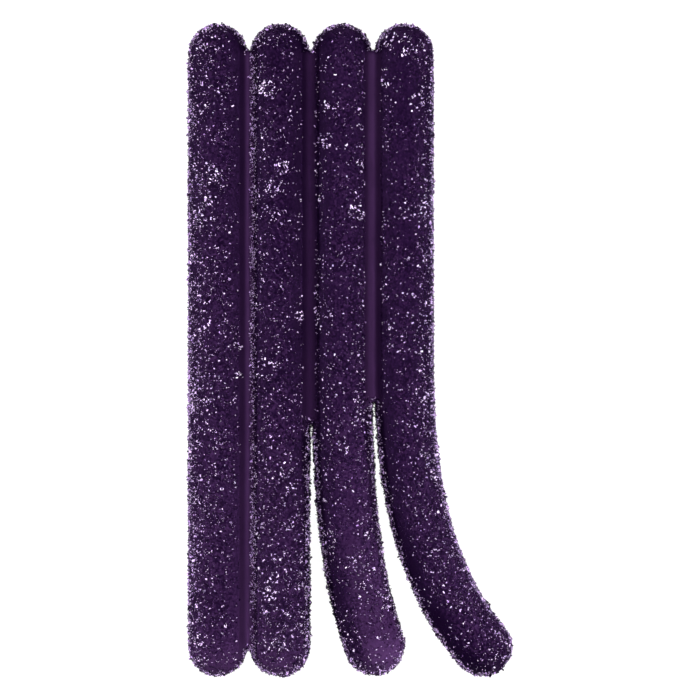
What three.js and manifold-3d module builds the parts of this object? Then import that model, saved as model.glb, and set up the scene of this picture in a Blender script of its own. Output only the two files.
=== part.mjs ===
// Four sugar-coated gummy sticks, moulded side by side and joined by thin webs that tear apart.
// The two right-hand sticks are already peeled at their lower ends and curl away to the right.
// Units are millimetres. +X runs across the sticks to the right, +Y along them towards the ends
// that are still joined, and +Z up from the surface that they lie on. The origin is on that
// surface, in the middle of the outline as seen from above.

import * as THREE from 'three';
import { mergeVertices } from 'three/addons/utils/BufferGeometryUtils.js';
import Module from 'manifold-3d';

// ---- Driving dimensions ----

const stickRadius = 3.92; // the gummy without its sugar
const stickPitch = 8.29; // between two neighbouring centre lines, where they are joined
const stickLength = 86.8;
const restDepth = 0.5; // how far the round underside is pressed flat where it rests

// The sticks from left to right. A peeled stick is straight as far as bendStart, measured from
// its upper end, and then turns by tipAngle degrees in all. Its turn grows as the given power of
// the way along the bend, and its length includes what it stretched by as it was pulled.
const bendStart = 39.5;
const sticks = [
  { length: stickLength, tipAngle: 0, growth: 1 },
  { length: stickLength, tipAngle: 0, growth: 1 },
  { length: 87.0, tipAngle: 18.8, growth: 2.3 },
  { length: 89.0, tipAngle: 40.8, growth: 2 },
];

// The webs from left to right: how far from the sticks' upper ends each one reaches.
const webThickness = 2.8;
const webSetback = 3.6;
const webReaches = [stickLength - webSetback, 53.4, 50.6];

// The largest sugar crystals: blocks that stand half sunk in the gummy.
const crystalPlacesPerStick = 92;
const crystalLength = { least: 0.75, most: 1.15 };
const crystalWidth = 0.75; // as a share of its length
const crystalHeight = 0.6;
const crystalSink = 0.18;
const crystalClearance = 1.15; // least gap from a crystal's place to the next stick
const crystalFloorGap = 0.75; // least height of a crystal's place above the underside
const sugarSeed = 20;

const stickSides = 20;
const capRings = 5;
const bendRings = 26;
const weldDistance = 1e-4;

// ---- The sticks' centre lines ----

const centreHeight = stickRadius - restDepth;
const firstCentre = -stickPitch * (sticks.length - 1) / 2;
const turnSteps = 48;

// How far a stick has moved sideways and lengthways at a given distance from its upper end,
// and its heading there: 0 straight down the stick, positive to the right.
function followStick(stick, distance) {
  const bendLength = stick.length - stickRadius - bendStart;
  const intoBend = Math.min(Math.max(distance - bendStart, 0), bendLength);
  const turnAt = (along) =>
    THREE.MathUtils.degToRad(stick.tipAngle) * (along / bendLength) ** stick.growth;
  const step = intoBend / turnSteps;
  let sideways = 0;
  let lengthways = Math.min(distance, bendStart);
  for (let i = 0; i < turnSteps; i += 1) {
    const heading = turnAt((i + 0.5) * step);
    sideways += Math.sin(heading) * step;
    lengthways += Math.cos(heading) * step;
  }
  const heading = turnAt(intoBend);
  const pastBend = Math.max(distance - bendStart - bendLength, 0);
  return {
    sideways: sideways + Math.sin(heading) * pastBend,
    lengthways: lengthways + Math.cos(heading) * pastBend,
    heading,
  };
}

// The outline's left edge is the first stick's side and its right edge is the last stick's tip.
const lastStick = sticks[sticks.length - 1];
const lastTip = followStick(lastStick, lastStick.length - stickRadius);
const rightEdge = -firstCentre + lastTip.sideways + stickRadius;
const leftEdge = firstCentre - stickRadius;
const outlineMiddle = (leftEdge + rightEdge) / 2;

// The point beside a stick's centre line at a distance from its upper end.
function placeOnStick(index, distance, across, up) {
  const { sideways, lengthways, heading } = followStick(sticks[index], distance);
  return new THREE.Vector3(
    firstCentre + index * stickPitch - outlineMiddle + sideways + across * Math.cos(heading),
    stickLength / 2 - lengthways + across * Math.sin(heading),
    centreHeight + up,
  );
}

// ---- Joining and cutting ----

const wasm = await Module();
wasm.setup();

function toSolid(geometry) {
  const bare = geometry.clone();
  bare.deleteAttribute('normal');
  bare.deleteAttribute('uv');
  const welded = mergeVertices(bare, weldDistance);
  const corners = welded.index.array;
  const triVerts = [];
  for (let i = 0; i < corners.length; i += 3) {
    const [a, b, c] = [corners[i], corners[i + 1], corners[i + 2]];
    if (a !== b && b !== c && c !== a) triVerts.push(a, b, c);
  }
  return new wasm.Manifold(new wasm.Mesh({
    numProp: 3,
    vertProperties: welded.attributes.position.array,
    triVerts: new Uint32Array(triVerts),
  }));
}

function toGeometry(solid) {
  const mesh = solid.getMesh();
  const geometry = new THREE.BufferGeometry();
  geometry.setAttribute('position', new THREE.BufferAttribute(mesh.vertProperties, 3));
  geometry.setIndex(new THREE.BufferAttribute(mesh.triVerts, 1));
  geometry.computeVertexNormals();
  return geometry;
}

// ---- The gummy ----

// A round-ended rod, bent along its stick's centre line.
function makeStick(index) {
  const { length, tipAngle } = sticks[index];
  const rings = tipAngle > 0 ? bendRings : 1;
  const straightLength = length - 2 * stickRadius;
  const rod = new THREE.CapsuleGeometry(stickRadius, straightLength, capRings, stickSides, rings);
  const corners = rod.attributes.position;
  for (let i = 0; i < corners.count; i += 1) {
    const distance = length / 2 - corners.getY(i);
    const place = placeOnStick(index, distance, corners.getX(i), corners.getZ(i));
    corners.setXYZ(i, place.x, place.y, place.z);
  }
  return toSolid(rod);
}

// The thin bridge between a stick and the next one, which leaves a groove above and below it.
function makeWeb(index) {
  const top = placeOnStick(index, webSetback, 0, 0);
  const web = new THREE.BoxGeometry(stickPitch, webReaches[index] - webSetback, webThickness);
  web.translate(top.x + stickPitch / 2, top.y - (webReaches[index] - webSetback) / 2, top.z);
  return toSolid(web);
}

// ---- The sugar ----

// Mulberry32: the same draws in the same order every time.
function seededDraw(seed) {
  let state = seed;
  return () => {
    state = (state + 0x6d2b79f5) | 0;
    let mixed = Math.imul(state ^ (state >>> 15), 1 | state);
    mixed = (mixed + Math.imul(mixed ^ (mixed >>> 7), 61 | mixed)) ^ mixed;
    return ((mixed ^ (mixed >>> 14)) >>> 0) / 2 ** 32;
  };
}

const draw = seededDraw(sugarSeed);
const goldenTurn = Math.PI * (3 - Math.sqrt(5));
const spinePoints = 60;

// Points along each stick's centre line, for measuring how near the next stick is.
const spines = sticks.map(({ length }, index) => {
  const straightLength = length - 2 * stickRadius;
  return Array.from({ length: spinePoints }, (_, i) =>
    placeOnStick(index, stickRadius + straightLength * i / (spinePoints - 1), 0, 0));
});

function gapToOtherSticks(index, place) {
  const others = spines.filter((_, other) => other !== index).flat();
  return Math.min(...others.map((point) => point.distanceTo(place))) - stickRadius;
}

// Equal steps of distance and golden turns spread the places evenly, on the round ends too.
function sugarPlaces(index) {
  const { length } = sticks[index];
  const places = [];
  for (let i = 0; i < crystalPlacesPerStick; i += 1) {
    const distance = length * (i + draw()) / crystalPlacesPerStick;
    const turn = goldenTurn * i + draw();
    const fromCap = Math.min(distance, length - distance, stickRadius);
    const girth = Math.sqrt(stickRadius ** 2 - (stickRadius - fromCap) ** 2);
    const reach = 1 - crystalSink / stickRadius;
    const across = girth * reach * Math.cos(turn);
    const up = girth * reach * Math.sin(turn);
    const place = placeOnStick(index, distance, across, up);
    const clear = gapToOtherSticks(index, place) > crystalClearance;
    if (clear && place.z > crystalFloorGap) places.push(place);
  }
  return places;
}

function makeCrystal(place) {
  const spread = crystalLength.most - crystalLength.least;
  const length = crystalLength.least + spread * draw();
  const block = new THREE.BoxGeometry(length, length * crystalWidth, length * crystalHeight);
  const tumble = new THREE.Euler(draw() * Math.PI, draw() * Math.PI, draw() * Math.PI);
  block.applyQuaternion(new THREE.Quaternion().setFromEuler(tumble));
  block.translate(place.x, place.y, place.z);
  return toSolid(block);
}

// ---- The whole piece ----

let body = makeStick(0);
for (let index = 1; index < sticks.length; index += 1) {
  body = body.add(makeStick(index)).add(makeWeb(index - 1));
}

const underside = new THREE.BoxGeometry(4 * stickLength, 4 * stickLength, 2 * stickRadius);
underside.translate(0, 0, -stickRadius);
body = body.subtract(toSolid(underside));

for (let index = 0; index < sticks.length; index += 1) {
  for (const place of sugarPlaces(index)) body = body.add(makeCrystal(place));
}

const gummy = new THREE.MeshStandardMaterial({ color: 0x2e1a3d, roughness: 0.55, metalness: 0 });
const gummySticks = new THREE.Mesh(toGeometry(body), gummy);
gummySticks.name = 'gummy_sticks';

const part = new THREE.Group();
part.add(gummySticks);

export default part;
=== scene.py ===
"""Four dark purple gummy sticks, moulded side by side and coated with coarse sugar.

Everything is in metres. X runs across the sticks to the right, Y along them towards the ends
that are all still joined, and Z up from the surface that they lie on.
"""
import math

import bmesh
import bpy
import numpy as np
from mathutils import Matrix, Vector, noise


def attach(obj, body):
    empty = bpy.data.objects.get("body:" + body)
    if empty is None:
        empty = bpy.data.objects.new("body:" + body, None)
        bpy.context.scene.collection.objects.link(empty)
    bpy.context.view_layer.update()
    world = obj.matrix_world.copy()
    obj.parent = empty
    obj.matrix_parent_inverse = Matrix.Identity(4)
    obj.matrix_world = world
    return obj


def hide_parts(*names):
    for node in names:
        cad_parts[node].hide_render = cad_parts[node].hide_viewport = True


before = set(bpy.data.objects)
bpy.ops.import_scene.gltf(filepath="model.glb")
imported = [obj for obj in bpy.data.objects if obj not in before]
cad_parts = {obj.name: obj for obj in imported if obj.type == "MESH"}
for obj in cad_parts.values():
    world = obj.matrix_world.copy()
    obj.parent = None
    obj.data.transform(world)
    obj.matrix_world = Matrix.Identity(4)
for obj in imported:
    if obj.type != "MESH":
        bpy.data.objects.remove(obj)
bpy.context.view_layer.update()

# ---- The gummy --------------------------------------------------------------------------------
# Soft gelatine jelly, cast in one go as round-ended sticks with a thin web between neighbours.
# The two right-hand sticks are peeled off at their lower ends, which tears the webs there, and
# they curl away. Each stick lies on a narrow flat that its own weight has pressed.

mm = 0.001
stick_radius = 3.84 * mm
stick_pitch = 8.29 * mm
stick_length = 86.8 * mm
centre_height = 3.42 * mm
underside_height = 0.10 * mm  # the gummy stands this far up on its sugar
bend_start = 39.5 * mm
sticks = [
    {"length": stick_length, "tip_angle": 0.0, "growth": 1.0},
    {"length": stick_length, "tip_angle": 0.0, "growth": 1.0},
    {"length": 87.0 * mm, "tip_angle": math.radians(18.8), "growth": 2.3},
    {"length": 89.0 * mm, "tip_angle": math.radians(40.8), "growth": 2.0},
]
stick_lengths = np.array([stick["length"] for stick in sticks])
sugared_radius = 3.92 * mm  # with the sugar's own thickness, as the solid has it
first_centre = -stick_pitch * (len(sticks) - 1) / 2

web_thickness = 2.7 * mm
web_setback = 3.65 * mm
web_reaches = np.array([stick_length - web_setback, 52.9 * mm, 50.1 * mm])
web_fillet = 1.4 * mm  # how much further the webs reach where they blend into the sticks

spine_samples = 400
cap_steps = 14
length_cuts = 150
round_steps = 44
weld_distance = 0.001 * mm
voxel = 0.275 * mm
smoothing_rounds = 8
smoothing_strength = 0.5
kept_faces = 0.68  # the share that the even mesh is thinned to
lump_size = 5.5 * mm
lump_height = 0.035 * mm
dimple_size = 1.3 * mm
dimple_height = 0.018 * mm


def follow(stick):
    """Samples of a stick's centre line: the way along it, its place and its heading."""
    along = np.linspace(0.0, stick["length"], spine_samples)
    bend_length = stick["length"] - sugared_radius - bend_start
    share = np.clip((along - bend_start) / bend_length, 0.0, 1.0)
    heading = stick["tip_angle"] * share ** stick["growth"]
    step = along[1] - along[0]
    middle = (heading[1:] + heading[:-1]) / 2
    sideways = np.concatenate([[0.0], np.cumsum(np.sin(middle) * step)])
    lengthways = np.concatenate([[0.0], np.cumsum(np.cos(middle) * step)])
    return along, sideways, lengthways, heading


spines = [follow(stick) for stick in sticks]
tip_sideways, tip_turn = spines[-1][1][-1], sticks[-1]["tip_angle"]
right_edge = -first_centre + tip_sideways + sugared_radius * (1 - math.sin(tip_turn))
outline_middle = (first_centre - sugared_radius + right_edge) / 2


def place_on_stick(index, distance, across, up):
    """The point beside a stick's centre line, at a distance from its upper end."""
    along, sideways, lengthways, heading = spines[index]
    turn = np.interp(distance, along, heading)
    x = first_centre + index * stick_pitch - outline_middle
    x += np.interp(distance, along, sideways) + across * math.cos(turn)
    y = stick_length / 2 - np.interp(distance, along, lengthways) + across * math.sin(turn)
    return Vector((x, y, centre_height + up))


def quarter_turn(bm, vert, centre_y):
    """Draws a quarter circle from a vertex, and gives the vertex at its far end."""
    arc = bmesh.ops.spin(
        bm, geom=[vert], cent=(0, centre_y, 0), axis=(0, 0, 1),
        angle=-math.pi / 2, steps=cap_steps,
    )
    return arc["geom_last"][0]


def cast_stick(index):
    """A round-ended rod, turned from its profile and bent along its stick's centre line."""
    bm = bmesh.new()
    straight = sticks[index]["length"] - 2 * stick_radius
    tip = bm.verts.new((0, stick_radius, 0))
    side = quarter_turn(bm, tip, 0)
    for _ in range(length_cuts):
        side = bmesh.ops.extrude_vert_indiv(bm, verts=[side])["verts"][0]
        side.co.y -= straight / length_cuts
    quarter_turn(bm, side, -straight)
    bmesh.ops.spin(
        bm, geom=bm.verts[:] + bm.edges[:], cent=(0, 0, 0), axis=(0, 1, 0),
        angle=2 * math.pi, steps=round_steps, use_merge=True,
    )
    bmesh.ops.remove_doubles(bm, verts=bm.verts, dist=weld_distance)
    bmesh.ops.recalc_face_normals(bm, faces=bm.faces)
    for vert in bm.verts:
        vert.co = place_on_stick(index, stick_radius - vert.co.y, vert.co.x, vert.co.z)
    return bm


def cast_gummy():
    """All the sticks and webs in one mesh, still as separate shells."""
    joined = bmesh.new()
    for index in range(len(sticks)):
        rod = cast_stick(index)
        carrier = bpy.data.meshes.new("rod")
        rod.to_mesh(carrier)
        rod.free()
        joined.from_mesh(carrier)
        bpy.data.meshes.remove(carrier)
    for index, reach in enumerate(web_reaches):
        height = reach - web_setback
        centre = place_on_stick(index, web_setback + height / 2, 0, 0)
        centre.x = place_on_stick(index, 0, stick_pitch / 2, 0).x
        size = Matrix.Diagonal((stick_pitch, height, web_thickness, 1))
        bmesh.ops.create_cube(joined, size=1, matrix=Matrix.Translation(centre) @ size)
    shells = bpy.data.meshes.new("shells")
    joined.to_mesh(shells)
    joined.free()
    return shells


# The shells are fused by a voxel remesh, and smoothing rounds the creases as the mould does.
shells = cast_gummy()
draft = bpy.data.objects.new("draft", shells)
bpy.context.collection.objects.link(draft)
fuse = draft.modifiers.new("fuse", "REMESH")
fuse.mode = "VOXEL"
fuse.voxel_size = voxel
soften = draft.modifiers.new("soften", "SMOOTH")
soften.factor = smoothing_strength
soften.iterations = smoothing_rounds
thin_out = draft.modifiers.new("thin_out", "DECIMATE")
thin_out.ratio = kept_faces
depsgraph = bpy.context.evaluated_depsgraph_get()
gummy_mesh = bpy.data.meshes.new_from_object(draft.evaluated_get(depsgraph))
gummy_mesh.name = "gummy"
bpy.data.objects.remove(draft)
bpy.data.meshes.remove(shells)

centring_rounds = 6  # of finding the nearest point of a stick's centre line


def beside_each(points):
    """For each stick and point: the gap between them, and how far along, across and up it is."""
    measures = []
    for index, stick in enumerate(sticks):
        along, sideways, lengthways, heading = spines[index]
        start_x = first_centre + index * stick_pitch - outline_middle
        down = stick_length / 2 - points[:, 1]
        nearest = np.interp(down, lengthways, along)
        for _ in range(centring_rounds):
            nearest = np.clip(nearest, sugared_radius, stick["length"] - sugared_radius)
            offset_x = points[:, 0] - start_x - np.interp(nearest, along, sideways)
            offset_down = down - np.interp(nearest, along, lengthways)
            turn = np.interp(nearest, along, heading)
            across = offset_x * np.cos(turn) - offset_down * np.sin(turn)
            further = offset_x * np.sin(turn) + offset_down * np.cos(turn)
            distance = nearest + further
            nearest = distance
        up = points[:, 2] - centre_height
        level = np.clip(distance, sugared_radius, stick["length"] - sugared_radius)
        gap = np.sqrt(across ** 2 + (distance - level) ** 2 + up ** 2) - stick_radius
        measures.append(np.stack([gap, distance, across, up], axis=1))
    return np.array(measures)


def beside_own(points):
    """For each point: the stick that it is on, and how far along, across and up it is there."""
    measures = beside_each(points)
    own = measures[:, :, 0].argmin(axis=0)
    return own, *measures[own, np.arange(len(points)), 1:].T


def read_rows(collection, field, width, kind=float):
    """A mesh's vertices, loops or faces as an array with one row each."""
    flat = np.empty(len(collection) * width, kind)
    collection.foreach_get(field, flat)
    return flat.reshape(-1, width)


def ease(value, start, end):
    """0 before the start, 1 past the end and smooth in between."""
    share = np.clip((value - start) / (end - start), 0, 1)
    return share ** 2 * (3 - 2 * share)


def beside_groove(own, across):
    """The groove on each point's side of its stick, and whether that side is an outer one."""
    groove = np.clip(own - (across < 0), 0, len(web_reaches) - 1)
    outside = ((own == 0) & (across < 0)) | ((own == len(sticks) - 1) & (across > 0))
    return groove, outside


# Where a web is torn, a low ragged edge of it is left on both of its sticks.
torn_webs = np.array([False, True, True])
torn_height = 0.15 * mm
torn_reach = 1.5 * mm  # above and below the middle of the web
torn_start = 1.0 * mm
rag_size = 0.55 * mm


def on_torn_edge(own, distance, across, up):
    """1 along the middle of a torn web's edge on both sticks, and 0 away from it."""
    groove, outside = beside_groove(own, across)
    reach = web_reaches[groove]
    torn = ease(distance, reach - torn_start, reach) * (torn_webs[groove] & ~outside)
    return torn * ease(-np.abs(up), -torn_reach, 0)


bm = bmesh.new()
bm.from_mesh(gummy_mesh)
bm.normal_update()
torn_edge = on_torn_edge(*beside_own(np.array([vert.co for vert in bm.verts])))
for vert, edge in zip(bm.verts, torn_edge):
    swell = lump_height * noise.noise(vert.co / lump_size)
    swell += dimple_height * noise.noise(vert.co / dimple_size)
    swell += torn_height * edge * (1 + noise.noise(vert.co / rag_size))
    vert.co += vert.normal * swell
    vert.co.z = max(vert.co.z, underside_height)
for face in bm.faces:
    face.smooth = True
bm.to_mesh(gummy_mesh)
bm.free()

gummy = bpy.data.objects.new("gummy", gummy_mesh)
bpy.context.collection.objects.link(gummy)

# The map has one strip for each stick: across it runs the way round the stick, up it the way
# along its skin. The strips' seams are underneath.
strip_fill = 0.94
map_margin = 0.01


def unroll(mesh):
    """Gives the mesh the map that its finish can be kept in."""
    centres = read_rows(mesh.polygons, "center", 3)
    own, _, across, up = beside_own(centres)
    middle = np.arctan2(across, up)
    corners = read_rows(mesh.loops, "vertex_index", 1, int)[:, 0]
    face = np.repeat(np.arange(len(centres)), read_rows(mesh.polygons, "loop_total", 1, int)[:, 0])
    strip = own[face]
    places = beside_each(read_rows(mesh.vertices, "co", 3))[strip, corners]
    turn = np.arctan2(places[:, 2], places[:, 3])
    turn += 2 * np.pi * np.round((middle[face] - turn) / (2 * np.pi))
    length = stick_lengths[strip]
    upper = stick_radius * np.arccos(np.clip(1 - places[:, 1] / stick_radius, 0, 1))
    lower = stick_radius * np.arccos(np.clip(1 - (length - places[:, 1]) / stick_radius, 0, 1))
    straight = np.clip(places[:, 1], stick_radius, length - stick_radius) - stick_radius
    quarter = stick_radius * np.pi / 2
    along = upper + straight + quarter - lower
    share = along / (2 * quarter + length - 2 * stick_radius)
    unrolled = np.stack([
        (strip + 0.5 + strip_fill * turn / (2 * np.pi)) / len(sticks),
        map_margin + (1 - 2 * map_margin) * share,
    ], axis=1)
    layer = mesh.uv_layers.new(name="OFBake")
    layer.data.foreach_set("uv", unrolled.ravel())


unroll(gummy_mesh)

side_band = (0.1, 0.8)  # where a stick's top turns into its side, as shares of its radius


def from_table(table, own, distance, across):
    """Reads a value that is given for each stick's left, top and right at its stations."""
    stations = len(table[0])
    step = np.clip(distance / stick_lengths[own], 0, 1) * (stations - 1)
    row = np.minimum(step.astype(int), stations - 2)
    blend = (step - row)[:, None]
    table = np.array(table, float)
    sides = table[own, row] * (1 - blend) + table[own, row + 1] * blend
    side = across / stick_radius
    left, right = ease(-side, *side_band), ease(side, *side_band)
    return sides[:, 0] * left + sides[:, 1] * (1 - left - right) + sides[:, 2] * right


# Every groove runs between two sticks. How far it is from the middle of a groove to the ends of
# its pale floor, which is painted light on the web, and to where the sugar begins, on its left
# and on its right.
painted_floor_ends = [(-0.06 * mm, 0.25 * mm), (-0.35 * mm, 0.15 * mm), (-0.40 * mm, 0.00 * mm)]
groove_bare = [(-1.10 * mm, 0.05 * mm), (-1.00 * mm, 0.55 * mm), (-1.00 * mm, 0.95 * mm)]
groove_blur = 0.65 * mm


def in_groove(ends, blur, margin, own, distance, across):
    """1 between the ends given for each groove, as far as a margin past its web, and else 0."""
    groove, outside = beside_groove(own, across)
    offset = across - np.where(across < 0, -1, 1) * stick_pitch / 2
    starts, stops = np.array(ends)[groove].T
    inside = ease(offset, starts - blur, starts) * ease(-offset, -stops - blur, -stops)
    joined = distance < web_reaches[groove] + margin
    joined = joined * ease(distance, web_setback - web_fillet / 2, web_setback + web_fillet / 2)
    return inside * joined * ~outside


# How pale the jelly looks, from 0, nearly black, over 0.3, its usual dark purple, to 1: on each
# stick's left, top and right, at its upper end, its middle and its lower end. Besides the jelly's
# own colour the table holds painted light and shade: flanks that the neighbouring sticks shade
# are darker, and lower ends lit from the front are paler.
tones_and_painted_light = [
    [(0.14, 0.28, 0.10), (0.18, 0.35, 0.16), (0.42, 0.50, 0.42)],
    [(0.08, 0.17, -0.14), (0.12, 0.28, -0.06), (0.42, 0.50, 0.44)],
    [(-0.06, 0.32, 0.04), (-0.04, 0.31, 0.16), (0.06, 0.74, 0.74)],
    [(0.16, 0.24, 0.14), (0.02, 0.30, 0.18), (-0.22, 0.42, 0.48)],
]
# How pale each groove's floor is: painted light on the thin web.
painted_floor_tones = [0.86, 0.46, 0.80]
# Painted light: the flanks beside each groove's floor are paled against the shade that the
# neighbouring sticks cast there.
painted_side_light_ends = [(-1.15 * mm, 0.60 * mm), (-1.15 * mm, 0.70 * mm), (-1.00 * mm, 0.95 * mm)]
painted_side_light = [0.26, 0.38, 0.36]  # how much paler the jelly's flanks are beside each floor
side_blur = 0.40 * mm
painted_end_light = [0.30, 0.30, 0.30, -0.22]  # and how much paler each stick's lower end is
end_glow_from, end_glow_at = 6.0 * mm, 1.0 * mm

# Each vertex's tone is the jelly's own colour with painted light and shade added.
own, distance, across, up = beside_own(read_rows(gummy_mesh.vertices, "co", 3))
tone = from_table(tones_and_painted_light, own, distance, across)
groove, _ = beside_groove(own, across)
painted_side_light_share = in_groove(painted_side_light_ends, side_blur, web_fillet, own, distance, across)
tone += np.array(painted_side_light)[groove] * painted_side_light_share
# Painted light pales the lower ends of the first three sticks, and painted shade darkens the
# fourth's.
to_end = stick_lengths[own] - distance
tone += np.array(painted_end_light)[own] * ease(-to_end, -end_glow_from, -end_glow_at)
painted_floor_share = in_groove(painted_floor_ends, groove_blur, web_fillet, own, distance, across)
tone += (np.array(painted_floor_tones)[groove] - tone) * painted_floor_share
gummy_mesh.attributes.new("tone", "FLOAT", "POINT").data.foreach_set("value", tone)


def node(tree, kind, place, **inputs):
    """Adds a node and sets the inputs that are named, with underscores for their spaces."""
    made = tree.nodes.new(kind)
    made.location = place
    for name, value in inputs.items():
        made.inputs[name.replace("_", " ")].default_value = value
    return made


def ramp(tree, place, stops):
    """A colour ramp through the stops, each a position and a colour."""
    made = node(tree, "ShaderNodeValToRGB", place)
    elements = made.color_ramp.elements
    while len(elements) < len(stops):
        elements.new(0.5)
    for element, (position, colour) in zip(elements, stops):
        element.position = position
        element.color = colour
    return made


def attribute(tree, place, name):
    """Reads one of the mesh's own attributes."""
    made = node(tree, "ShaderNodeAttribute", place)
    made.attribute_name = name
    return made


def calculate(tree, place, operation, first, second):
    """Does a sum with a socket and a second socket or a number, and gives its result."""
    made = node(tree, "ShaderNodeMath", place)
    made.operation = operation
    tree.links.new(first, made.inputs[0])
    if isinstance(second, bpy.types.NodeSocket):
        tree.links.new(second, made.inputs[1])
    else:
        made.inputs[1].default_value = second
    return made.outputs["Value"]


# A fine uneven surface, which is duller in some places than in others. The jelly's skin and the
# crystals' facets both have it, each at its own scale.
uneven_surface = bpy.data.node_groups.new("uneven_surface", "ShaderNodeTree")
for socket_name, socket_type in [
    ("Vector", "NodeSocketVector"),
    ("Scale", "NodeSocketFloat"),
    ("Detail", "NodeSocketFloat"),
    ("Coarseness", "NodeSocketFloat"),
    ("Glossiest", "NodeSocketFloat"),
    ("Dullest", "NodeSocketFloat"),
]:
    uneven_surface.interface.new_socket(socket_name, in_out="INPUT", socket_type=socket_type)
for socket_name in ("Roughness", "Height"):
    uneven_surface.interface.new_socket(
        socket_name, in_out="OUTPUT", socket_type="NodeSocketFloat"
    )
given = node(uneven_surface, "NodeGroupInput", (-600, 0))
result = node(uneven_surface, "NodeGroupOutput", (200, 0))
pores = node(uneven_surface, "ShaderNodeTexNoise", (-400, 0))
dullness = node(uneven_surface, "ShaderNodeMapRange", (-100, 100))
uneven_surface.links.new(given.outputs["Vector"], pores.inputs["Vector"])
uneven_surface.links.new(given.outputs["Scale"], pores.inputs["Scale"])
uneven_surface.links.new(given.outputs["Detail"], pores.inputs["Detail"])
uneven_surface.links.new(given.outputs["Coarseness"], pores.inputs["Roughness"])
uneven_surface.links.new(given.outputs["Glossiest"], dullness.inputs["To Min"])
uneven_surface.links.new(given.outputs["Dullest"], dullness.inputs["To Max"])
uneven_surface.links.new(pores.outputs["Fac"], dullness.inputs["Value"])
uneven_surface.links.new(dullness.outputs["Result"], result.inputs["Roughness"])
uneven_surface.links.new(pores.outputs["Fac"], result.inputs["Height"])


def roughen(tree, shader, vector, values, strength, relief):
    """Gives a shader the uneven surface, with that much bump and relief."""
    surface = tree.nodes.new("ShaderNodeGroup")
    surface.node_tree = uneven_surface
    surface.location = (-700, -300)
    for name, value in values.items():
        surface.inputs[name].default_value = value
    tree.links.new(vector, surface.inputs["Vector"])
    tree.links.new(surface.outputs["Roughness"], shader.inputs["Roughness"])
    bump = node(tree, "ShaderNodeBump", (-350, -350), Strength=strength, Distance=relief)
    tree.links.new(surface.outputs["Height"], bump.inputs["Height"])
    tree.links.new(bump.outputs["Normal"], shader.inputs["Normal"])


cloud_depth = 0.26  # how far the clouds in the jelly shift its tone
speck_depth = 0.54  # how much darker the darkest specks are, and
speck_lift = 0.42  # how much paler the palest ones
gummy_finish = bpy.data.materials.new("gummy")
gummy_finish.use_nodes = True
tree = gummy_finish.node_tree
shader = tree.nodes["Principled BSDF"]
shader.inputs["IOR"].default_value = 1.45
shader.inputs["Specular IOR Level"].default_value = 0.05
shader.inputs["Specular Tint"].default_value = (0.75, 0.3, 1, 1)
where = node(tree, "ShaderNodeTexCoord", (-1500, 0))

# Slow clouds in the jelly and, where sugar lies, fine specks of crushed sugar shift its tone.
clouds = node(tree, "ShaderNodeTexNoise", (-1300, 100), Scale=170, Detail=3, Roughness=0.55)
tree.links.new(where.outputs["Object"], clouds.inputs["Vector"])
cloud_centre = calculate(tree, (-1100, 100), "SUBTRACT", clouds.outputs["Fac"], 0.5)
cloud_shift = calculate(tree, (-900, 100), "MULTIPLY", cloud_centre, cloud_depth)
specks = node(tree, "ShaderNodeTexVoronoi", (-1300, 500), Scale=4300)
tree.links.new(where.outputs["Object"], specks.inputs["Vector"])
speck_pick = node(tree, "ShaderNodeSeparateColor", (-1100, 500))
tree.links.new(specks.outputs["Color"], speck_pick.inputs["Color"])
speck_shift = node(
    tree, "ShaderNodeMapRange", (-700, 500), To_Min=-speck_depth, To_Max=speck_lift
)
tree.links.new(speck_pick.outputs["Red"], speck_shift.inputs["Value"])
dusted = attribute(tree, (-700, 700), "dusted").outputs["Fac"]
dust_shift = calculate(tree, (-500, 500), "MULTIPLY", speck_shift.outputs["Result"], dusted)
own_tone = attribute(tree, (-900, 300), "tone").outputs["Fac"]
clouded = calculate(tree, (-500, 200), "ADD", own_tone, cloud_shift)
specked = calculate(tree, (-350, 300), "ADD", clouded, dust_shift)
shades = ramp(tree, (-200, 200), [
    (0.0, (0.0016, 0.0001, 0.0040, 1)),
    (0.30, (0.0065, 0.0020, 0.0115, 1)),
    (0.55, (0.0146, 0.0054, 0.0210, 1)),
    (1.0, (0.0355, 0.0155, 0.0485, 1)),
])
tree.links.new(specked, shades.inputs["Fac"])
tree.links.new(shades.outputs["Color"], shader.inputs["Base Color"])

jelly_skin = {"Scale": 1900, "Detail": 3, "Coarseness": 0.6, "Glossiest": 0.55, "Dullest": 0.75}
roughen(tree, shader, where.outputs["Object"], jelly_skin, 0.35, 0.03 * mm)
gummy_mesh.materials.append(gummy_finish)

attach(gummy, "root")
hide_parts("gummy_sticks")

# ---- The sugar --------------------------------------------------------------------------------
# Coarse clear crystals, tumbled onto the warm gummy so that they stand about half sunk in it.
# The grooves stay bare, because the neighbouring sticks keep the sugar out of them.

# How thickly the sugar lies on each stick's left, top and right, at its upper end, its middle
# and its lower end.
cover = [
    [(2.8, 1.90, 0.05), (4.3, 2.20, 0.75), (3.1, 2.00, 0.05)],
    [(2.0, 1.60, 0.25), (2.9, 1.15, 0.60), (3.6, 3.60, 4.00)],
    [(0.4, 0.62, 0.60), (1.9, 0.90, 2.80), (2.2, 1.90, 1.40)],
    [(1.3, 0.25, 1.40), (0.9, 0.95, 5.20), (0.4, 2.80, 3.80)],
]
most_cover = 8.0  # at which every crystal that meets the gummy sticks to it
rim_cover = 3.0  # low down on the outline, where the sugar bed reached it from the side
rim_heights = (0.53, 0.40)  # as shares of a stick's radius, above its centre line
frosted_from = (0.05, 0.25)  # below these heights crystals are no more frosted than on top
rim_lift = 0.16  # how much further out crystals stand there, as a share of their size
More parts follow.
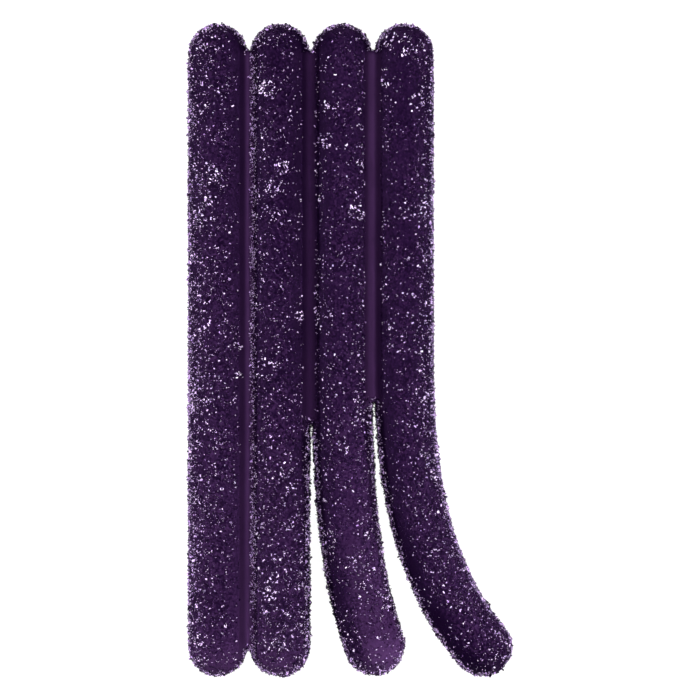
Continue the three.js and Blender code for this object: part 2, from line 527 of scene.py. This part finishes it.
# It lies unevenly, in wide patches and small clumps. For both: the usual share of its thickness,
# how strongly that share varies, and the least and the most of it.
patch_size = 3.4 * mm
patch_spread = (1, 1.1, 0.2, 2)
clump_size = 0.70 * mm
clump_spread = (0.9, 1.4, 0.25, 2.0)
sugar_blur = 0.25 * mm
bare_margin = -0.6 * mm  # the sugar reaches a little way into each split's end
# A crust of it lies in the corner between the first groove's floor and the second stick.
crust = (0.42 * mm, 0.92 * mm)
crust_cover = 4.4
# Crystals on the rims, in the crust and on the first stick's left are frosted more often. This is
# painted light: brighter sugar where the outline and the first stick's left catch the light, and
# a lift for the shaded crust.
rim_painted_light = 2.9
crust_painted_light = 2.4
left_painted_light = (0.5, 1.3, 1.5)  # at the stick's upper end, its middle and its lower end

crystal_width = (0.30, 0.75)  # as shares of its length
crystal_height = (0.25, 0.65)
crystal_lift = (-0.10, 0.36)  # how far its middle is outside the gummy, as shares of its length
small_bias = 1.5  # above 1, more crystals are near the least size than near the most
tip_weld = 0.01  # merges the corners at a splinter's tip, as a share of its length
# A broken crystal is a three-sided splinter. "slim" narrows or widens it, "tilt" is how far it
# leans away from the surface's normal, "rim" how many times as likely it is on the rims, "gather"
# how much it keeps to thick sugar, "lit" the share that is frosted and "lit_facet" the share of
# a frosted crystal's facets that look white. These white facets are partly real frost and partly
# painted glints, which stand in for light caught inside the clear crystals.
sugar_kinds = {
    "sugar_splinters": {"count": 43000, "size": (0.13, 0.32), "slim": 0.85, "tilt": 0.8,
                        "broken": True, "bevel": 0.0, "rim": 0.6, "gather": 0.8,
                        "lit": 0.215, "lit_facet": 0.38, "seed": 21},
    "fine_sugar": {"count": 44000, "size": (0.11, 0.21), "slim": 1.3, "tilt": 20.0,
                   "broken": True, "bevel": 0.0, "rim": 0.3, "gather": 0.6,
                   "lit": 0.21, "lit_facet": 0.38, "seed": 22},
    "medium_sugar": {"count": 42000, "size": (0.14, 0.29), "slim": 1.2, "tilt": 20.0,
                     "broken": True, "bevel": 0.0, "rim": 0.6, "gather": 0.8,
                     "lit": 0.185, "lit_facet": 0.38, "seed": 23},
    "block_sugar": {"count": 16000, "size": (0.16, 0.34), "slim": 0.9, "tilt": 20.0,
                    "broken": False, "bevel": 0.0, "rim": 3.0, "gather": 1.1,
                    "lit": 0.34, "lit_facet": 0.38, "seed": 25},
    "coarse_sugar": {"count": 4400, "size": (0.27, 0.52), "slim": 0.9, "tilt": 20.0,
                     "broken": False, "bevel": 0.15, "rim": 4.0, "gather": 1.2,
                     "lit": 0.52, "lit_facet": 0.14, "seed": 24},
}


def on_rim(up):
    """1 low down on the outline and underneath, and 0 on top."""
    return ease(-up, -rim_heights[0] * stick_radius, -rim_heights[1] * stick_radius)


def in_crust(own, distance, across):
    """1 in the crust beside the first groove's floor, and 0 outside it."""
    crusts = [crust] * len(web_reaches)
    along_groove = in_groove(crusts, sugar_blur, web_fillet, own, distance, across)
    return along_groove * (own <= 1) * ((own == 0) | (across < 0))


def varied(spots, size, spread):
    """How thickly patches or clumps of the given size let the sugar lie at each point."""
    usual, depth, least, most = spread
    lumps = np.array([noise.noise(Vector(spot) / size) for spot in spots])
    return np.clip(usual + depth * lumps, least, most)


def sugar_chance(spots, rim_share, gather):
    """How likely a crystal is to stick at each point, from 0 to 1."""
    own, distance, across, up = beside_own(spots)
    thickness = from_table(cover, own, distance, across)
    thickness = np.maximum(thickness, rim_cover * on_rim(up)) * (1 + (rim_share - 1) * on_rim(up))
    thickness = np.maximum(thickness, crust_cover * in_crust(own, distance, across))
    thickness *= varied(spots, patch_size, patch_spread)
    thickness *= varied(spots, clump_size, clump_spread)
    thickness *= 1 - in_groove(groove_bare, sugar_blur, bare_margin, own, distance, across)
    return np.clip(thickness / most_cover, 0, 1) ** gather


def spread_points(mesh, count, draw):
    """Even random points on a mesh, with the surface's normals there."""
    mesh.calc_loop_triangles()
    corners = read_rows(mesh.loop_triangles, "vertices", 3, int)
    places = read_rows(mesh.vertices, "co", 3)
    normals = read_rows(mesh.vertex_normals, "vector", 3)
    a, b, c = (places[corners[:, i]] for i in range(3))
    area = np.linalg.norm(np.cross(b - a, c - a), axis=1)
    chosen = np.searchsorted(np.cumsum(area) / area.sum(), draw.random(count))
    first, second = np.sort(draw.random((2, count)), axis=0)
    shares = np.stack([first, second - first, 1 - second], axis=1)[:, :, None]
    spots = (places[corners[chosen]] * shares).sum(axis=1)
    facing = (normals[corners[chosen]] * shares).sum(axis=1)
    return spots, facing / np.linalg.norm(facing, axis=1, keepdims=True)


def crystal_block(broken, bevel):
    """One crystal, 1 long, wide and high: a three-sided splinter if it is broken, else a block
    with its edges chamfered if it is large."""
    bm = bmesh.new()
    if broken:
        bmesh.ops.create_cone(
            bm, cap_ends=True, segments=3, radius1=1 / math.sqrt(3), radius2=0, depth=1,
            matrix=Matrix.Rotation(math.pi / 2, 4, "Y"),
        )
        bmesh.ops.remove_doubles(bm, verts=bm.verts, dist=tip_weld)
    else:
        bmesh.ops.create_cube(bm, size=1)
    if bevel:
        bmesh.ops.bevel(
            bm, geom=bm.edges[:], offset=bevel, segments=1, profile=0.5, affect="EDGES",
            material=-1,
        )
    bmesh.ops.recalc_face_normals(bm, faces=bm.faces)
    return bm


def turns_on(facing, tilt, draw):
    """Turns each crystal about the surface's normal, after tilting it away from the normal."""
    up = facing + tilt * draw.normal(size=facing.shape)
    up /= np.linalg.norm(up, axis=1, keepdims=True)
    long = np.cross(up, draw.normal(size=facing.shape))
    long /= np.linalg.norm(long, axis=1, keepdims=True)
    return np.stack([long, np.cross(up, long), up], axis=2)


def frosting_with_painted_light(spots):
    """How many times as often crystals are frosted at each point as on top of the sticks; the extra
    frosting is painted light.
    """
    own, distance, across, up = beside_own(spots)
    rim = rim_painted_light * on_rim(up) * ease(up / stick_radius, *frosted_from)
    left = from_table([[(share, 0, 0) for share in left_painted_light]], own * 0, distance, across)
    return 1 + np.maximum(rim, left * (own == 0)) + crust_painted_light * in_crust(own, distance, across)


chamfer_area = 0.25  # facets below this share of the largest are chamfers
# Bright chamfers are painted glints along the crystals' edges, which show as rings.
lit_chamfer = 0.75  # the share of a frosted crystal's chamfers that is white
cloudy_from = 0.84  # how far across the map frosted facets begin
clear_depth, clear_bias = 0.34, 3  # how far clear facets reach, and how few reach that far
facet_margin = 0.02
facet_patch = 0.004


def paint_facets(mesh, totals, chamfered, lit, lit_facet, painted_shade_paleness, draw):
    """Gives every facet its own small patch of the map, which its finish is read from.

    Across the map facets go from clear, which shows the dark gummy behind, to frosted white,
    which is partly real frost and partly painted glints.
    Up the map they go from lilac to white. Where a paleness below 1 holds them down, the deeper
    lilac is painted shade, on the rims and in the crust.
    """
    edges = np.tile(chamfered, len(lit))
    frosted = draw.random(len(edges)) < np.where(edges, lit_chamfer, lit_facet)
    frosted &= np.repeat(lit, len(chamfered))
    cloudy = draw.uniform(cloudy_from, 1, len(edges))
    clear = clear_depth * draw.random(len(edges)) ** clear_bias
    across = np.where(frosted, cloudy, clear) * (1 - 2 * facet_margin) + facet_margin
    whiteness = draw.uniform(facet_margin, 1 - facet_margin, len(edges))
    up = whiteness * np.repeat(painted_shade_paleness, len(chamfered))
    first = np.concatenate([[0], np.cumsum(totals)[:-1]])
    step = np.arange(totals.sum()) - np.repeat(first, totals)
    turn = 2 * np.pi * step / np.repeat(totals, totals)
    patch = np.stack([
        np.repeat(across, totals) + facet_patch * np.cos(turn),
        np.repeat(up, totals) + facet_patch * np.sin(turn),
    ], axis=1)
    layer = mesh.uv_layers.new(name="OFBake")
    layer.data.foreach_set("uv", patch.ravel())


def make_crystals(name, kind, spots, facing, lit, painted_shade_paleness, draw):
    """One mesh of many crystals, each a turned and sized copy of the same block."""
    count = len(spots)
    least, most = kind["size"]
    size = (least + (most - least) * draw.random(count) ** small_bias) * mm
    shape = np.stack([
        np.ones(count),
        draw.uniform(*crystal_width, count) * kind["slim"],
        draw.uniform(*crystal_height, count) * kind["slim"],
    ], axis=1)
    draft = crystal_block(kind["broken"], kind["bevel"])
    draft.verts.ensure_lookup_table()
    block = np.array([vert.co[:] for vert in draft.verts])
    faces = [[vert.index for vert in face.verts] for face in draft.faces]
    chamfered = np.array([face.calc_area() < chamfer_area for face in draft.faces])
    draft.free()
    scaled = block[None] * (shape * size[:, None])[:, None, :]
    turned = np.einsum("nij,nvj->nvi", turns_on(facing, kind["tilt"], draw), scaled)
    rim = on_rim(spots[:, 2] - centre_height)
    lift = size * (draw.uniform(*crystal_lift, count) + rim_lift * rim) * kind["slim"]
    places = turned + (spots + facing * lift[:, None])[:, None, :]
    below = np.clip(-places[:, :, 2].min(axis=1), 0, None)
    places[:, :, 2] += below[:, None]

    sides = np.array([len(face) for face in faces])
    order = np.concatenate(faces)
    corners = (order[None, :] + np.arange(count)[:, None] * len(block)).ravel()
    totals = np.tile(sides, count)
    mesh = bpy.data.meshes.new(name)
    mesh.vertices.add(count * len(block))
    mesh.vertices.foreach_set("co", places.ravel())
    mesh.loops.add(len(corners))
    mesh.loops.foreach_set("vertex_index", corners)
    mesh.polygons.add(len(totals))
    mesh.polygons.foreach_set("loop_start", np.concatenate([[0], np.cumsum(totals)[:-1]]))
    mesh.polygons.foreach_set("loop_total", totals)
    mesh.update(calc_edges=True)
    paint_facets(mesh, totals, chamfered, lit, kind["lit_facet"], painted_shade_paleness, draw)
    mesh.materials.append(sugar_finish)
    piece = bpy.data.objects.new(name, mesh)
    bpy.context.collection.objects.link(piece)
    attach(piece, "root")


sugar_finish = bpy.data.materials.new("sugar")
sugar_finish.use_nodes = True
tree = sugar_finish.node_tree
shader = tree.nodes["Principled BSDF"]
shader.inputs["IOR"].default_value = 1.56
shader.inputs["Specular IOR Level"].default_value = 0.5
shader.inputs["Specular Tint"].default_value = (0.75, 0.42, 1, 1)
facet_map = node(tree, "ShaderNodeUVMap", (-1100, 0))
facet_map.uv_map = "OFBake"
split = node(tree, "ShaderNodeSeparateXYZ", (-900, 0))
tree.links.new(facet_map.outputs["UV"], split.inputs["Vector"])
frost = ramp(tree, (-700, 100), [
    (0.0, (0.0020, 0.0001, 0.0062, 1)),
    (0.36, (0.010, 0.0028, 0.021, 1)),
    (0.56, (0.10, 0.045, 0.145, 1)),
    (0.76, (0.53, 0.39, 0.62, 1)),
    (1.0, (0.98, 0.95, 0.98, 1)),
])
tree.links.new(split.outputs["X"], frost.inputs["Fac"])
tint = ramp(tree, (-700, -150), [
    (0.0, (0.64, 0.44, 0.84, 1)),
    (0.15, (0.84, 0.73, 0.91, 1)),
    (0.6, (0.97, 0.94, 0.97, 1)),
    (1.0, (1.0, 1.0, 1.0, 1)),
])
tree.links.new(split.outputs["Y"], tint.inputs["Fac"])
tinted = node(tree, "ShaderNodeMix", (-350, 100))
tinted.data_type = "RGBA"
tinted.blend_type = "MULTIPLY"
tinted.inputs["Factor"].default_value = 1
tree.links.new(frost.outputs["Color"], tinted.inputs["A"])
tree.links.new(tint.outputs["Color"], tinted.inputs["B"])
tree.links.new(tinted.outputs["Result"], shader.inputs["Base Color"])
pitted = {"Scale": 260, "Detail": 2, "Coarseness": 0.5, "Glossiest": 0.06, "Dullest": 0.14}
roughen(tree, shader, facet_map.outputs["UV"], pitted, 0.1, 0.01 * mm)

spare_points = 5  # points tried for each crystal, because most miss the thick sugar
for name, kind in sugar_kinds.items():
    draw = np.random.default_rng(kind["seed"])
    spots, facing = spread_points(gummy_mesh, kind["count"] * spare_points, draw)
    chance = sugar_chance(spots, kind["rim"], kind["gather"])
    stuck = np.flatnonzero(draw.random(len(spots)) < chance)[:kind["count"]]
    # Crystals that are frosted more often are also held to a deeper lilac: painted shade.
    often = frosting_with_painted_light(spots[stuck])
    lit = draw.random(len(stuck)) < kind["lit"] * often
    make_crystals(name, kind, spots[stuck], facing[stuck], lit, 1 / often, draw)

# The crushed sugar between the crystals, which the gummy's finish shows as its specks.
least_dust = 0.25
dust_gain = 5
pale_calm = 0.75  # how much less of it the palest jelly shows, between these two tones
calm_tones = (0.35, 0.80)
surface = read_rows(gummy_mesh.vertices, "co", 3)
dust_cover = np.clip(least_dust + sugar_chance(surface, 1, 1) * dust_gain, 0, 1)
dust_cover *= 1 - in_groove(groove_bare, sugar_blur, bare_margin, *beside_own(surface)[:3])
dust_cover *= 1 - pale_calm * ease(tone, *calm_tones)
gummy_mesh.attributes.new("dusted", "FLOAT", "POINT").data.foreach_set("value", dust_cover)

# ---- The clumps of sugar ----------------------------------------------------------------------
# Crystals that stuck to each other before they met the gummy: small rings and heaps of them.
# Their places are given across and along the sweet, with their radius.

clump_kind = {"size": (0.15, 0.36), "slim": 0.85, "tilt": 20.0,
              "broken": False, "bevel": 0.0, "lit_facet": 0.38}
clumps = [(x * mm, y * mm, radius * mm) for x, y, radius in [
    (5.2, 41.2, 0.95), (7.3, 41.3, 0.65), (7.7, 39.7, 0.95), (9.4, 40.6, 0.35),
    (8.9, 33.3, 0.95), (4.6, 35.4, 0.45), (7.6, 18.2, 0.90), (1.2, 31.8, 0.40),
    (1.3, 29.6, 0.40), (1.1, 27.2, 0.40), (1.3, 24.9, 0.45), (0.7, 18.2, 1.00),
    (-3.1, 27.7, 0.85), (-3.1, 32.5, 0.45), (-10.9, 34.6, 0.95), (-9.1, 24.1, 0.90),
    (-10.2, 21.3, 0.95), (-10.5, 18.4, 0.60), (-6.8, 4.5, 0.65), (-11.1, -1.6, 0.80),
    (-9.8, -2.4, 0.35), (-6.6, -2.4, 0.35), (-9.0, -16.1, 0.40), (-7.9, -16.1, 0.40),
    (-7.9, -18.5, 0.60), (-8.1, -23.2, 0.70), (-10.3, -30.3, 0.70), (-10.5, -32.4, 0.90),
    (-9.8, -39.1, 0.90), (-0.9, -12.7, 0.90), (3.0, -29.4, 0.45), (5.1, -33.6, 0.95),
    (1.9, -28.2, 0.55), (-18.4, 23.4, 1.10), (-18.7, 20.0, 0.70), (-19.7, 18.3, 0.50),
    (-17.2, 34.3, 0.50), (-19.9, 40.5, 0.75), (-16.6, 3.9, 0.35), (-14.9, 0.6, 0.55),
    (-14.8, -3.4, 0.50), (-15.1, -6.8, 0.35), (-20.1, -38.7, 0.70), (-21.0, 0.9, 0.50),
    (-18.7, -6.8, 0.60), (-20.6, -7.5, 0.60), (-18.2, -10.8, 0.50), (-17.5, -16.2, 0.40),
    (-21.0, -20.0, 0.60), (-19.3, -32.2, 0.60), (-16.6, -36.4, 0.30), (-11.2, -34.9, 0.40),
    (0.3, -27.9, 0.45), (-0.4, -31.0, 0.35), (3.4, -33.5, 0.50), (2.2, -24.7, 0.50),
    (10.2, -6.1, 0.50), (9.5, -13.7, 0.40), (15.4, -29.2, 0.40), (-8.2, 31.7, 0.30),
    (-7.9, 30.8, 0.35),
]]
clump_core = 0.40  # the share of its radius in which a clump is hollow
raggedness = 0.9
ragged_size = 0.45 * mm
clump_points = 200000
# Frosted clumped crystals are partly real frost and partly painted glints.
lit_clump = 0.62
clump_seed = 31

draw = np.random.default_rng(clump_seed)
spots, facing = spread_points(gummy_mesh, clump_points, draw)
ragged = np.array([noise.noise(Vector(spot) / ragged_size) for spot in spots])
clumped = np.zeros(len(spots), bool)
for x, y, radius in clumps:
    away = np.hypot(spots[:, 0] - x, spots[:, 1] - y) / radius
    clumped |= (away < 1 + raggedness * ragged) & (away > clump_core - raggedness * ragged)
clumped &= facing[:, 2] > 0
lit = draw.random(clumped.sum()) < lit_clump
pale = np.ones(clumped.sum())
make_crystals("clumped_sugar", clump_kind, spots[clumped], facing[clumped], lit, pale, draw)

# ---- The floor, the lights and the camera -----------------------------------------------------
# A plain white sweep. Long soft boxes stand low and high on the left and on the right, and two
# weaker ones at the ends fill the dark sides. A long lens looks straight down.

floor_size = 4.0
floor_mesh = bpy.data.meshes.new("floor")
bm = bmesh.new()
bmesh.ops.create_grid(bm, x_segments=1, y_segments=1, size=floor_size / 2)
bm.to_mesh(floor_mesh)
bm.free()
floor = bpy.data.objects.new("floor", floor_mesh)
bpy.context.collection.objects.link(floor)
floor_finish = bpy.data.materials.new("floor")
floor_finish.use_nodes = True
tree = floor_finish.node_tree
shader = tree.nodes["Principled BSDF"]
shader.inputs["Base Color"].default_value = (0.1, 0.1, 0.1, 1)
shader.inputs["Roughness"].default_value = 0.9
shader.inputs["Emission Color"].default_value = (1, 1, 1, 1)
seen = node(tree, "ShaderNodeLightPath", (-300, 0))
tree.links.new(seen.outputs["Is Camera Ray"], shader.inputs["Emission Strength"])
floor_mesh.materials.append(floor_finish)

light_colour = (0.93, 0.86, 1.0)
studio_glow = 0.02
side_on = 0.7  # a light that points less than this along the sticks stands beside them


def soft_box(name, place, width, length, strength):
    """A rectangular area light that faces the sweet: its length runs along the sticks if it
    stands beside them, and across them at their ends."""
    data = bpy.data.lights.new(name, "AREA")
    data.shape = "RECTANGLE"
    data.size = width
    data.size_y = length
    data.energy = strength
    data.color = light_colour
    lamp = bpy.data.objects.new(name, data)
    z = Vector(place).normalized()
    y = Vector((0, 1, 0)) if abs(z.y) < side_on else Vector((1, 0, 0))
    x = y.cross(z).normalized()
    y = z.cross(x)
    lamp.matrix_world = Matrix.Translation(place) @ Matrix((x, y, z)).transposed().to_4x4()
    bpy.context.collection.objects.link(lamp)


soft_box("left_light", (-0.30, 0.0, 0.10), width=0.02, length=0.07, strength=1.70)
soft_box("right_light", (0.30, 0.0, 0.10), width=0.02, length=0.07, strength=1.68)
soft_box("front_light", (0.10, -0.33, 0.12), width=0.04, length=0.02, strength=0.98)
soft_box("back_light", (0.0, 0.33, 0.12), width=0.04, length=0.02, strength=0.77)
soft_box("top_left_light", (-0.30, 0.02, 0.34), width=0.03, length=0.09, strength=2.24)
soft_box("top_right_light", (0.30, 0.02, 0.34), width=0.03, length=0.09, strength=2.22)

world = bpy.data.worlds.new("studio")
world.use_nodes = True
background = world.node_tree.nodes["Background"]
background.inputs["Color"].default_value = (*light_colour, 1)
background.inputs["Strength"].default_value = studio_glow
bpy.context.scene.world = world

picture_width = 93.33 * mm
camera_height = 700 * mm
sensor_width = 36.0
measured_height = 3.4 * mm  # the sweet's outline is about this high, and is drawn to scale
camera_data = bpy.data.cameras.new("camera")
camera_data.sensor_width = sensor_width
camera_data.lens = sensor_width * (camera_height - measured_height) / picture_width
camera_data.clip_start = 10 * mm
camera_data.clip_end = 10.0
camera = bpy.data.objects.new("camera", camera_data)
camera.location = (0, 0, camera_height)
bpy.context.collection.objects.link(camera)
bpy.context.scene.camera = camera
bpy.context.scene.view_settings.view_transform = "Standard"
